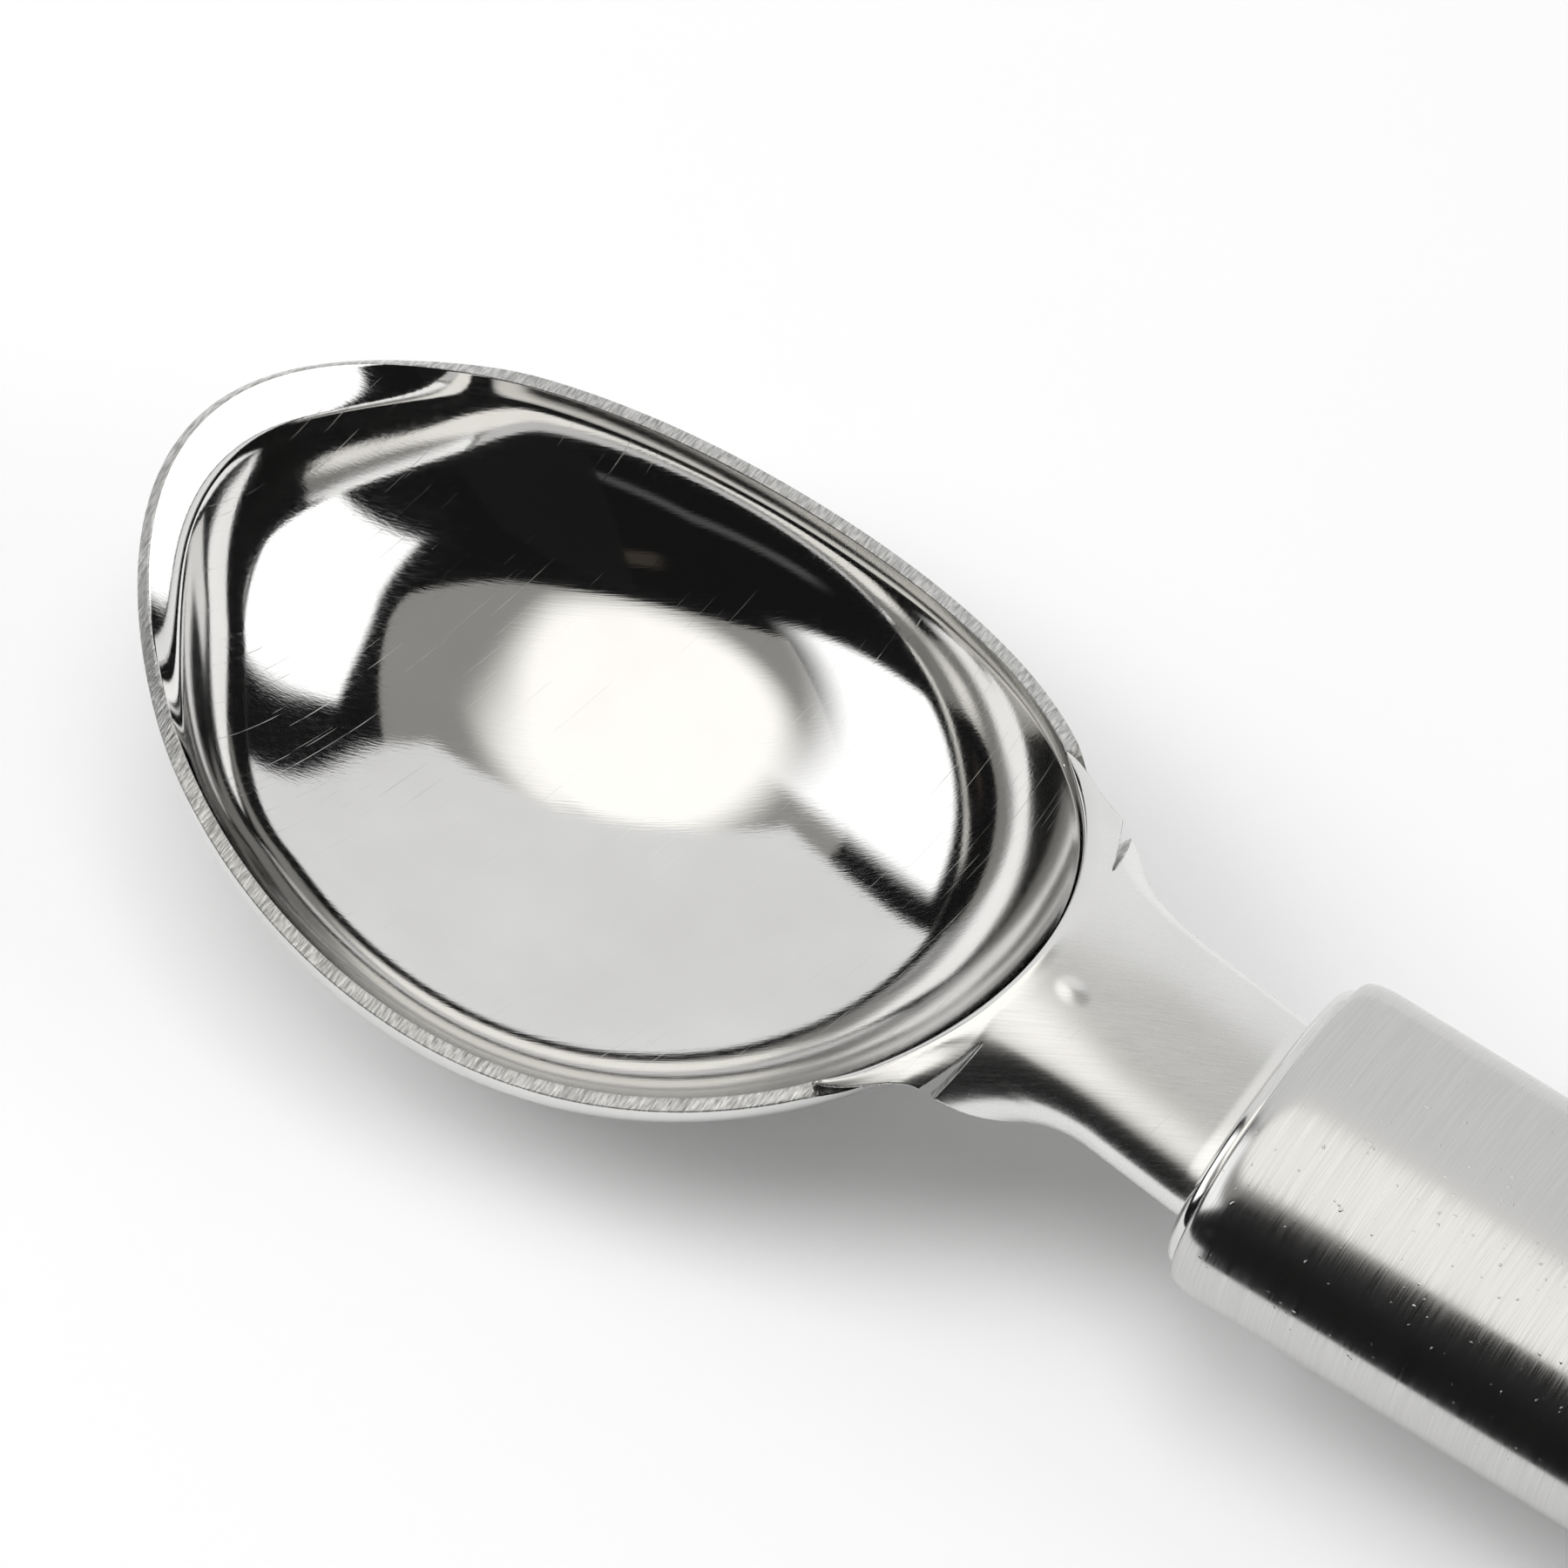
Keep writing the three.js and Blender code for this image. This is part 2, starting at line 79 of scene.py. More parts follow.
# Neck
NECK_LENGTH = 16.3
NECK_TOP_HEIGHT = 2.1
NECK_LEVEL_LENGTH = 1.0
NECK_STRAIGHT_LENGTH = 7.6
NECK_FOLD_LENGTH = 11.4
NECK_ARCH_ANGLE = math.radians(27)
NECK_HALF_WIDTH = 7.9
NECK_CROWN_ANGLE = math.radians(24)
NECK_CROWN_POWER = 3.0
NECK_CORNER_RADIUS = 2.1
NECK_SIDE_FLAT = 0.3
NECK_UNDER_ANGLE = math.radians(75)
TANG_LENGTH = 20.0

# Horns and notch
SHOULDER_HALF_SPAN = 14.7
HORN_HALF_SPAN = 11.9
HORN_HEIGHT = 2.4
HORN_SETBACK = 1.3
HORN_LEAD = 2.8
NOTCH_GAP = 0.9
NOTCH_ROOT = 0.625

# Handle
HANDLE_LENGTH = 116.0
HANDLE_HALF_WIDTH = 12.0
HANDLE_HALF_HEIGHT = 7.3
HANDLE_SQUARENESS = 2.25
TUBE_WALL = 1.0
SHOULDER_LENGTH = 2.2
SHOULDER_DROP = 0.6
CAP_PROUD = 1.0
CAP_DEPTH = 3.0
CAP_EDGE = 0.9
SEAM = 0.12
MOUTH_ROUND = 0.12
EYELET_BORE_RADIUS = 4.5
EYELET_WALL = 0.8
EYELET_ROLL = 0.22
EYELET_FROM_REAR = 14.0
HOLE_WINDOW = 8.0

# Finish: the oval that parts the polished bowl from the satin neck, as its half length, width and height
RIDGE_OVAL = (43.0, 26.7, 1000.0)
RIDGE_FADE = 0.03
NECK_ROUGHNESS = 0.2

# Colours of the steels, and their roughness, where the noise over them is low and where it is high
NOISE_LEVELS = (0.3, 0.7)
BOWL_TINTS = ((0.70, 0.695, 0.685), (0.76, 0.757, 0.75))
BOWL_ROUGHNESS = (0.03, 0.09)
NECK_TINTS = ((0.75, 0.747, 0.735), (0.81, 0.807, 0.80))
SHEARED_TINTS = ((0.32, 0.32, 0.31), (0.72, 0.715, 0.705))
SHEARED_ROUGHNESS = (0.5, 0.25)
SATIN_TINTS = ((0.555, 0.552, 0.545), (0.615, 0.612, 0.605))
SATIN_ROUGHNESS = (0.23, 0.13)
CAP_TINTS = ((0.66, 0.655, 0.645), (0.75, 0.747, 0.74))
CAP_ROUGHNESS = (0.07, 0.14)
INNER_TINTS = ((0.48, 0.475, 0.465), (0.60, 0.597, 0.59))
INNER_ROUGHNESS = (0.35, 0.55)

# Marks in the steels: their size along each axis, their depth, and the noise at which the rare ones show
CLOUD_SIZE = (9.0, 9.0, 9.0)
CLOUD_DEPTH = 0.004
POLISH_SIZE = (6.0, 0.12, 0.3)
POLISH_DEPTH = 0.002
SCRATCH_SIZE = (14.0, 0.07, 14.0)
SCRATCH_TURN = math.radians(77)
SCRATCH_DEPTH = 0.002
SCRATCH_LEVELS = (0.69, 0.77)
TEAR_SIZE = (0.15, 0.9, 0.9)
TEAR_DEPTH = 0.08
SATIN_SIZE = (0.10, 5.0, 5.0)
SATIN_DEPTH = 0.002
SPECK_SIZE = (0.5, 0.5, 0.5)
SPECK_DEPTH = 0.02
SPECK_LEVELS = (0.72, 0.80)
CAP_GRAIN_SIZE = (0.15, 2.0, 2.0)
CAP_GRAIN_DEPTH = 0.001
INNER_CLOUD_SIZE = (1.5, 1.5, 1.5)

# A small rise pressed up in the neck's top: its place, its size and its height
DIMPLE_PLACE = (-13.2, -1.5)
DIMPLE_SIZE = (1.3, 1.0)
DIMPLE_HEIGHT = 0.09

# View of the handle's frame: angles, the point in front of the camera and the picture's width there
VIEW_TILT = math.radians(7.5)
VIEW_AZIMUTH = math.radians(32.56)
VIEW_ELEVATION = math.radians(56.185)
VIEW_PIVOT = np.array([-29.09, 0.0, -8.87])
VIEW_DISTANCE = 1000.0
VIEW_WIDTH = 98.09
VIEW_RIGHT = -3.90
VIEW_UP = 10.29
SENSOR_WIDTH = 36.0

# Fineness of the meshes
NECK_COLUMNS = 128
RIM_COLUMNS = 224
BOWL_ROWS = 56
LIP_ROWS = 16
RIDGE_ROWS = 20
CREST_ROWS = 12
CREST_PASSES = 24
FOLD_ROWS = 48
LEVEL_ROWS = 16
TANG_ROWS = 6
ARC_STEPS = 60
CORNER_ROWS = 4
ROUNDING_ROWS = 8
EDGE_ROWS = 4
OVAL_SIDES = 192
SHARP_ANGLE = math.radians(50)
TUBE_ROWS = 40
WINDOW_ROWS = 16
WINDOW_COLUMNS = 20
PATCH_ROWS = 6
ROLL_ROWS = 8
BORE_ROWS = 6
ROUND_SIDES = 96

# Places along the handle's axis
ridge_x = -NECK_LENGTH
bowl_x = ridge_x - BOWL_BACK_LENGTH
horn_x = ridge_x - HORN_SETBACK
level_x = -NECK_LEVEL_LENGTH
straight_x = -NECK_STRAIGHT_LENGTH
fold_x = straight_x - NECK_FOLD_LENGTH
tube_start_x = CAP_PROUD
tube_end_x = HANDLE_LENGTH - CAP_PROUD
eyelet_x = HANDLE_LENGTH - EYELET_FROM_REAR

# The handle's frame in the part's frame, from the flat face at the handle's rear end
rear_face = next(m for m in frame["record"]["mounts"] if m["name"] == "rear_face")
along = np.array(rear_face["axis"], float)
along /= np.linalg.norm(along)
across = np.array([0.0, 1.0, 0.0])
upward = np.cross(along, across)
handle_origin = np.array(rear_face["pos_m"]) - along * HANDLE_LENGTH * MM
handle_axes = np.stack([along, across, upward])
handle_matrix = Matrix.Translation(handle_origin) @ Matrix(handle_axes.T.tolist()).to_4x4()


def to_part(points):
    """Points of the handle's frame in millimetres, as points of the part's frame in metres."""
    return handle_origin + MM * np.asarray(points, float) @ handle_axes


def smoothstep(t):
    k = np.clip(t, 0.0, 1.0)
    return k * k * (3 - 2 * k)


def mix(a, b, t):
    return a + (b - a) * t


# Shape of the bowl, with angles counted from the neck
def rim_points(angle):
    c, s = np.cos(angle), np.sin(angle)
    tip = np.clip(-c, 0.0, 1.0)
    to_tip = 0.5 - 0.5 * np.tanh(c / RIM_BLEND)
    length = mix(BOWL_BACK_LENGTH, BOWL_TIP_LENGTH, to_tip)
    end_height = mix(RIDGE_HEIGHT, RIM_TIP_HEIGHT, to_tip)
    x = bowl_x + length * c
    y = BOWL_HALF_WIDTH * s * (1 - BOWL_TIP_POINT * tip**BOWL_TIP_POWER)
    z = RIM_SIDE_HEIGHT + (end_height - RIM_SIDE_HEIGHT) * c * c
    return np.stack([x, y, z], -1)


def lip_sizes(angle):
    amount = smoothstep((-np.cos(angle) - LIP_TIP_START) / (LIP_TIP_FULL - LIP_TIP_START))
    sizes = mix(LIP_SIDE, LIP_TIP, amount[..., None])
    return np.moveaxis(sizes, -1, 0)


def lip_foot(angle):
    rim = rim_points(angle)
    width, rise, _, _ = lip_sizes(angle)
    reach = np.hypot(rim[..., 0] - bowl_x, rim[..., 1])
    inward = (reach - width) / reach
    x = bowl_x + (rim[..., 0] - bowl_x) * inward
    return np.stack([x, rim[..., 1] * inward, rim[..., 2] - rise], -1)


def bowl_turn(share):
    """Turn of the bowl's section from level: a shallow dish, then a tighter bend up into the wall."""
    dish = BOWL_DISH_TURN / BOWL_DISH_SHARE
    bend = (BOWL_WALL_TURN - BOWL_DISH_TURN) / (1 - BOWL_DISH_SHARE)
    eased = BOWL_BLEND * np.logaddexp(0, (share - BOWL_DISH_SHARE) / BOWL_BLEND)
    return dish * share + (bend - dish) * eased


def bowl_section(share):
    """How far out and how far up the section has come at a share of its length, each as a share too."""
    parts = (np.arange(ARC_STEPS) + 0.5) / ARC_STEPS
    out = share * np.cos(bowl_turn(parts * share)).sum() / np.cos(bowl_turn(parts)).sum()
    up = share * np.sin(bowl_turn(parts * share)).sum() / np.sin(bowl_turn(parts)).sum()
    return out, up


def bowl_points(angle, share):
    foot = lip_foot(angle)
    out, up = bowl_section(share)
    x = bowl_x + (foot[..., 0] - bowl_x) * out
    z = BOWL_FLOOR_HEIGHT + (foot[..., 2] - BOWL_FLOOR_HEIGHT) * up
    return np.stack([x, foot[..., 1] * out, z], -1)


def lip_points(angle, t):
    rim, foot = rim_points(angle), lip_foot(angle)
    width, rise, root_width, root_rise = lip_sizes(angle)
    out = 2 * t * (1 - t) * root_width / width + t * t
    up = 2 * t * (1 - t) * root_rise / rise + t * t
    share = np.stack([out, out, up], -1)
    return foot + (rim - foot) * share


# Shape of the neck, with columns from -1 at one edge of the sheet to 1 at the other
crown_half = NECK_HALF_WIDTH - NECK_CORNER_RADIUS * (1 - math.sin(NECK_CROWN_ANGLE))
corner_length = NECK_CORNER_RADIUS * (math.pi / 2 - NECK_CROWN_ANGLE)
under_length = NECK_CORNER_RADIUS * NECK_UNDER_ANGLE
channel_half = crown_half + corner_length + NECK_SIDE_FLAT + under_length
arch_half = HORN_HALF_SPAN * NECK_ARCH_ANGLE / math.sin(NECK_ARCH_ANGLE)
shoulder_angle = math.asin(SHOULDER_HALF_SPAN / BOWL_HALF_WIDTH)


def channel_turn(distance):
    corner = np.clip(distance - crown_half, 0, corner_length)
    under = np.maximum(distance - crown_half - corner_length - NECK_SIDE_FLAT, 0)
    crown = (np.minimum(distance, crown_half) / crown_half) ** NECK_CROWN_POWER * NECK_CROWN_ANGLE
    return crown + (corner + under) / NECK_CORNER_RADIUS


def neck_section(share, fold):
    """Half section of the neck: how far out and how far down the skin is at a share of its width."""
    step = share * mix(arch_half, channel_half, fold) / ARC_STEPS
    out = np.zeros_like(step)
    drop = np.zeros_like(step)
    for i in range(ARC_STEPS):
        part = (i + 0.5) / ARC_STEPS * share
        turn = mix(part * NECK_ARCH_ANGLE, channel_turn(part * channel_half), fold)
        out = out + step * np.cos(turn)
        drop = drop + step * np.sin(turn)
    return out, drop


def dimple(x, y):
    """How far the small dimple lifts the neck's top at a place."""
    reach = np.hypot((x - DIMPLE_PLACE[0]) / DIMPLE_SIZE[0], (y - DIMPLE_PLACE[1]) / DIMPLE_SIZE[1])
    return DIMPLE_HEIGHT * smoothstep(1 - reach)


def neck_points(column, x):
    fold = smoothstep((x - fold_x) / (straight_x - fold_x))
    out, drop = neck_section(np.abs(column), fold)
    descent = np.clip((x - ridge_x) / (level_x - ridge_x), 0, 1)
    top = mix(RIDGE_HEIGHT, NECK_TOP_HEIGHT, descent)
    y = np.sign(column) * out
    return np.stack([x + 0 * out, y, top - drop + dimple(x, y)], -1)


def notch_reach(column):
    return np.maximum(np.abs(column) - NOTCH_ROOT, 0) / (1 - NOTCH_ROOT)


def horn_line(column):
    return horn_x + HORN_LEAD * (1 - column * column)


def fold_line(column):
    return horn_line(column) + NOTCH_GAP * notch_reach(column)


def shoulder_points(column, t):
    """Skin between the ridge and the horns."""
    rim = rim_points(column * shoulder_angle)
    skin = neck_points(column, mix(rim[..., 0], horn_line(column), t))
    from_rim = rim - neck_points(column, rim[..., 0])
    side = np.sign(column)
    horn = np.stack([0 * column, side * HORN_HALF_SPAN, HORN_HEIGHT + 0 * column], -1)
    to_horn = horn - neck_points(side, horn_x + 0 * column)
    held = smoothstep(notch_reach(column))[..., None]
    shift = mix(from_rim, held * to_horn, smoothstep(t)[..., None])
    shift[..., 0] = 0
    return skin + shift


def round_crest(rings, shoulder, columns):
    """Softens the crease where the lip turns over into the neck, and leaves the sheet's border alone."""
    count = len(columns)
    path = np.stack([row[:count] for row in rings[-CREST_ROWS:]] + shoulder[:CREST_ROWS])
    amount = CREST_SOFTNESS * (1 - smoothstep((np.abs(columns) - CREST_HOLD) / (1 - CREST_HOLD)))
    for _ in range(CREST_PASSES):
        between = (path[:-2] + path[2:]) / 2
        path[1:-1] = mix(path[1:-1], between, amount[:, None])
    for k in range(CREST_ROWS):
        rings[k - CREST_ROWS][:count] = path[k]
        shoulder[k] = path[CREST_ROWS + k]


def sheet_surface():
    """Points of the pressed sheet's upper skin and its faces, as one disc with a single border."""
    columns = np.linspace(-1, 1, NECK_COLUMNS + 1)
    rest = np.linspace(shoulder_angle, 2 * math.pi - shoulder_angle, RIM_COLUMNS + 1)[1:-1]
    angles = np.concatenate([columns * shoulder_angle, rest])
    ring = len(angles)
    rings = [bowl_points(angles, i / BOWL_ROWS) for i in range(1, BOWL_ROWS + 1)]
    rings += [lip_points(angles, np.full(ring, i / LIP_ROWS)) for i in range(1, LIP_ROWS + 1)]
    steps = np.arange(1, RIDGE_ROWS + 1) / RIDGE_ROWS
    shoulder = [shoulder_points(columns, np.full_like(columns, t)) for t in steps]
    round_crest(rings, shoulder, columns)

    points = [np.array([[bowl_x, 0.0, BOWL_FLOOR_HEIGHT]])] + rings
    faces = [(0, 1 + k, 1 + (k + 1) % ring) for k in range(ring)]
    for row in range(len(rings) - 1):
        inner = 1 + row * ring
        outer = inner + ring
        for k in range(ring):
            after = (k + 1) % ring
            faces.append((inner + k, outer + k, outer + after, inner + after))

    count = 1 + len(rings) * ring
    previous = np.arange(count - ring, count - ring + NECK_COLUMNS + 1)

    def add_row(row_points):
        nonlocal count, previous
        points.append(row_points)
        row = np.arange(count, count + NECK_COLUMNS + 1)
        count += NECK_COLUMNS + 1
        for k in range(NECK_COLUMNS):
            faces.append((previous[k], row[k], row[k + 1], previous[k + 1]))
        previous = row

    for row_points in shoulder:
        add_row(row_points)
    notched = notch_reach(columns) > 0
    start = fold_line(columns)
    points.append(neck_points(columns[notched], start[notched]))
    cut = np.arange(count, count + notched.sum())
    count += len(cut)
    previous = previous.copy()
    previous[notched] = cut
    for i in range(1, FOLD_ROWS + 1):
        add_row(neck_points(columns, mix(start, straight_x, i / FOLD_ROWS)))
    level = np.linspace(straight_x, level_x, LEVEL_ROWS + 1)[1:]
    tang = np.linspace(level_x, TANG_LENGTH, TANG_ROWS + 1)[1:]
    for x in (*level, *tang):
        add_row(neck_points(columns, np.full_like(columns, x)))
    return np.concatenate(points), faces


def corner_normals(points, faces):
    """Normals at the points, from the faces around each."""
    normals = np.zeros_like(points)
    for size in (3, 4):
        picked = np.array([f for f in faces if len(f) == size])
        if len(picked) == 0:
            continue
        a, b, c, d = (points[picked[:, k % size]] for k in (0, 1, 2, -1))
        facing = np.cross(c - a, d - b) if size == 4 else np.cross(b - a, c - a)
        for k in range(size):
            np.add.at(normals, picked[:, k], facing)
    return normals / np.linalg.norm(normals, axis=1)[:, None]


def border_loop(faces):
    """Points along the border of a disc of faces, in order."""
    edges = {(f[k], f[(k + 1) % len(f)]) for f in faces for k in range(len(f))}
    after = {a: b for a, b in edges if (b, a) not in edges}
    start = min(after)
    loop = [start]
    while after[loop[-1]] != start:
        loop.append(after[loop[-1]])
    return np.array(loop)


def new_piece(name, points, faces, materials, face_materials=None):
    """A mesh from points of the handle's frame, smooth but for its sharp edges, riding on the part."""
    mesh = bpy.data.meshes.new(name)
    mesh.from_pydata(to_part(points).tolist(), [], [[int(i) for i in f] for f in faces])
    mesh.polygons.foreach_set("use_smooth", [True] * len(faces))
    for material in materials:
        mesh.materials.append(material)
    if face_materials is not None:
        mesh.polygons.foreach_set("material_index", face_materials)
    shell = bmesh.new()
    shell.from_mesh(mesh)
    bmesh.ops.recalc_face_normals(shell, faces=shell.faces)
    shell.to_mesh(mesh)
    shell.free()
    mesh.set_sharp_from_angle(angle=SHARP_ANGLE)
    piece = bpy.data.objects.new(name, mesh)
    bpy.context.scene.collection.objects.link(piece)
    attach(piece, "root")
    return piece


def strip_faces(first, second):
    """Faces between two closed rows of points."""
    size = len(first)
    faces = []
    for k in range(size):
        after = (k + 1) % size
        faces.append((first[after], first[k], second[k], second[after]))
    return faces


def thick_sheet():
    """The pressed sheet: two skins, and between them a sheared edge with rounded corners."""
    upper, faces = sheet_surface()
    normals = corner_normals(upper, faces)
    loop = border_loop(faces)
    ahead = upper[np.roll(loop, -1)] - upper[np.roll(loop, 1)]
    outward = np.cross(ahead, normals[loop])
    outward /= np.linalg.norm(outward, axis=1)[:, None]
    skin = upper.copy()
    skin[loop] -= EDGE_ROUND * outward
    lower = skin - SHEET * normals
    count = len(upper)
    points = [skin, lower]
    all_faces = list(faces) + [tuple(count + i for i in reversed(f)) for f in faces]
    kinds = [0] * len(all_faces)
    rows = []
    for i in range(1, CORNER_ROWS + 1):
        turn = i / CORNER_ROWS * math.pi / 2
        rows.append((math.sin(turn), EDGE_ROUND * (1 - math.cos(turn))))
    for i in range(1, EDGE_ROWS):
        rows.append((1.0, mix(EDGE_ROUND, SHEET - EDGE_ROUND, i / EDGE_ROWS)))
    rows += [(out, SHEET - depth) for out, depth in reversed(rows[:CORNER_ROWS])]
    previous = loop
    total = 2 * count
    for out, depth in rows:
        points.append(skin[loop] + EDGE_ROUND * out * outward - depth * normals[loop])
        row = np.arange(total, total + len(loop))
        total += len(loop)
        all_faces += strip_faces(previous, row)
        previous = row
    all_faces += strip_faces(previous, loop + count)
    kinds += [1] * (len(all_faces) - len(kinds))
    return np.concatenate(points), all_faces, kinds


# Shape of the handle
def signed_power(value, power):
    return np.sign(value) * np.abs(value) ** power


def oval_points(x, inset):
    angle = 2 * math.pi * np.arange(OVAL_SIDES) / OVAL_SIDES
    y = (HANDLE_HALF_WIDTH - inset) * signed_power(np.cos(angle), 2 / HANDLE_SQUARENESS)
    z = (HANDLE_HALF_HEIGHT - inset) * signed_power(np.sin(angle), 2 / HANDLE_SQUARENESS)
    return np.stack([np.full(OVAL_SIDES, x), y, z], -1)


def oval_height(y):
    """Height of the handle's skin over its axis, at a distance to the side."""
    left_over = 1 - np.abs(y / HANDLE_HALF_WIDTH) ** HANDLE_SQUARENESS
    return HANDLE_HALF_HEIGHT * left_over ** (1 / HANDLE_SQUARENESS)


def loft_faces(rows):
    faces = []
    for i in range(rows - 1):
        first = np.arange(i * OVAL_SIDES, (i + 1) * OVAL_SIDES)
        faces += strip_faces(first, first + OVAL_SIDES)
    return faces


def quarter_round(length, drop):
    """Rows of a rounded edge, as how far along each is and how much is left of the drop."""
    turns = [i / ROUNDING_ROWS * math.pi / 2 for i in range(ROUNDING_ROWS + 1)]
    return [(length * (1 - math.cos(turn)), drop * (1 - math.sin(turn))) for turn in turns]


def tube_end():
    """Distance from the tube's end and inset of each row, from inside the mouth to the full oval."""
    mouth = [(CAP_DEPTH, TUBE_WALL), (MOUTH_ROUND, TUBE_WALL), (0.0, TUBE_WALL - MOUTH_ROUND)]
    return mouth + quarter_round(SHOULDER_LENGTH, SHOULDER_DROP)


def handle_tube():
    """The oval tube, with a round hole through its top and its bottom near the rear end."""
    mouth = tube_end()
    front_x = tube_start_x + SHOULDER_LENGTH
    rows = [(tube_start_x + x, inset) for x, inset in mouth]
    rows += [(x, 0.0) for x in np.linspace(front_x, eyelet_x - HOLE_WINDOW, TUBE_ROWS)[1:]]
    first_row = len(rows) - 1
    rows += [(x, 0.0) for x in np.linspace(eyelet_x - HOLE_WINDOW, eyelet_x + HOLE_WINDOW, WINDOW_ROWS)[1:]]
    last_row = len(rows) - 1
    rows += [(tube_end_x - x, inset) for x, inset in reversed(mouth)]
    points = [np.concatenate([oval_points(x, inset) for x, inset in rows])]
    grid = np.arange(len(rows) * OVAL_SIDES).reshape(len(rows), OVAL_SIDES)
    holes = [(OVAL_SIDES // 4, 1.0), (3 * OVAL_SIDES // 4, -1.0)]

    def in_window(row, k):
        if not first_row <= row < last_row:
            return False
        return any(middle - WINDOW_COLUMNS <= k < middle + WINDOW_COLUMNS for middle, _ in holes)

    faces = []
    for row in range(len(rows) - 1):
        for k in range(OVAL_SIDES):
            if not in_window(row, k):
                after = (k + 1) % OVAL_SIDES
                faces.append((grid[row, k], grid[row, after], grid[row + 1, after], grid[row + 1, k]))

    total = grid.size
    for middle, side in holes:
        left, right = middle - WINDOW_COLUMNS, middle + WINDOW_COLUMNS
        window = [grid[first_row, left:right], grid[first_row:last_row, right]]
        window += [grid[last_row, right:left:-1], grid[last_row:first_row:-1, left]]
        previous = np.concatenate(window)
        border = points[0][previous]
        bearing = np.arctan2(border[:, 1], border[:, 0] - eyelet_x)
        radius = EYELET_BORE_RADIUS + EYELET_WALL + SEAM
        circle = np.stack([eyelet_x + radius * np.cos(bearing), radius * np.sin(bearing)], -1)
        for i in range(1, PATCH_ROWS + 1):
            flat = mix(border[:, :2], circle, i / PATCH_ROWS)
            points.append(np.column_stack([flat, side * oval_height(flat[:, 1])]))
            row = np.arange(total, total + len(previous))
            total += len(previous)
            faces += strip_faces(previous, row)
            previous = row
    return np.concatenate(points), faces


def slot_outline(gap):
    """Outline of the neck's channel where it passes through the cap, a gap off its faces."""
    half = channel_half + gap
    distance = np.linspace(-half, half, NECK_COLUMNS + 1)
    side = np.sign(distance)
    out, drop = neck_section(np.abs(distance) / channel_half, 1.0)
    turn = channel_turn(np.abs(distance))
    facing = np.stack([side * np.sin(turn), np.cos(turn)], -1)
    skin = np.stack([side * out, NECK_TOP_HEIGHT - drop], -1)
    return np.concatenate([skin + gap * facing, (skin - (SHEET + gap) * facing)[::-1]])


def cap_rows():
    """Depth and inset of a cap's rows, from inside its flat face's border to its buried end."""
    inset = TUBE_WALL + SEAM
    rows = [(0.0, inset + CAP_EDGE + MOUTH_ROUND)]
    rows += [(depth, inset + drop) for depth, drop in quarter_round(CAP_EDGE, CAP_EDGE)]
    return rows + [(CAP_PROUD + CAP_DEPTH, inset)]


def cap(to_x, slot=None):
    """A cap with a rounded edge around its flat face, and a slot through it where one is given."""
    rows = cap_rows()
    points = [oval_points(to_x(depth), inset) for depth, inset in rows]
    faces = loft_faces(len(rows))
    total = len(rows) * OVAL_SIDES
    slot_ends = []
    for row in (0, len(rows) - 1):
        outlines = [points[row][:, 1:]]
        numbers = np.arange(row * OVAL_SIDES, (row + 1) * OVAL_SIDES)
        if slot is not None:
            outlines.append(slot)
            slot_ends.append(np.arange(total, total + len(slot)))
            numbers = np.concatenate([numbers, slot_ends[-1]])
            points.append(np.column_stack([np.full(len(slot), to_x(rows[row][0])), slot]))
            total += len(slot)
        corners = tessellate_polygon([[Vector((y, z, 0.0)) for y, z in outline] for outline in outlines])
        faces += [tuple(numbers[list(corner)]) for corner in corners]
    if slot is not None:
        faces += strip_faces(*slot_ends)
    return np.concatenate(points), faces


def hanging_eyelet():
    """A sleeve through the handle, with an edge rolled over the tube at both ends."""
    middle = EYELET_BORE_RADIUS + EYELET_WALL / 2
    end = [(middle + EYELET_WALL / 2, -TUBE_WALL)]
    for i in range(ROLL_ROWS + 1):
        turn = i / ROLL_ROWS * math.pi
        end.append((middle + EYELET_WALL / 2 * math.cos(turn), EYELET_ROLL * math.sin(turn)))
    bearing = 2 * math.pi * np.arange(ROUND_SIDES) / ROUND_SIDES

    def row(radius, lift, share):
        y = radius * np.sin(bearing)
        return np.stack([eyelet_x + radius * np.cos(bearing), y, share * (oval_height(y) + lift)], -1)

    rows = [row(radius, lift, 1.0) for radius, lift in end]
    rows += [row(EYELET_BORE_RADIUS, 0.0, share) for share in np.linspace(1, -1, BORE_ROWS + 1)[1:-1]]
    rows += [row(radius, lift, -1.0) for radius, lift in reversed(end)]
    numbers = np.arange(len(rows) * ROUND_SIDES).reshape(len(rows), ROUND_SIDES)
    faces = []
    for i in range(len(rows)):
        faces += strip_faces(numbers[i - 1], numbers[i])
    return np.concatenate(rows), faces


# Materials
def new_steel(name):
    material = bpy.data.materials.new(name)
    material.use_nodes = True
    shader = material.node_tree.nodes["Principled BSDF"]
    shader.inputs["Metallic"].default_value = 1.0
    return material, material.node_tree, shader


def handle_place(tree, origin, size, turn=0.0):
    """Places of the handle's frame, counted from an origin in steps of a size in millimetres."""
    place = tree.nodes.new("ShaderNodeTexCoord")
    mapping = tree.nodes.new("ShaderNodeMapping")
    mapping.vector_type = "TEXTURE"
    mapping.inputs["Location"].default_value = to_part(origin)
    turned = handle_matrix.to_3x3() @ Matrix.Rotation(turn, 3, "Z")
    mapping.inputs["Rotation"].default_value = turned.to_euler()
    mapping.inputs["Scale"].default_value = MM * np.array(size)
    tree.links.new(place.outputs["Object"], mapping.inputs["Vector"])
    return mapping.outputs["Vector"]


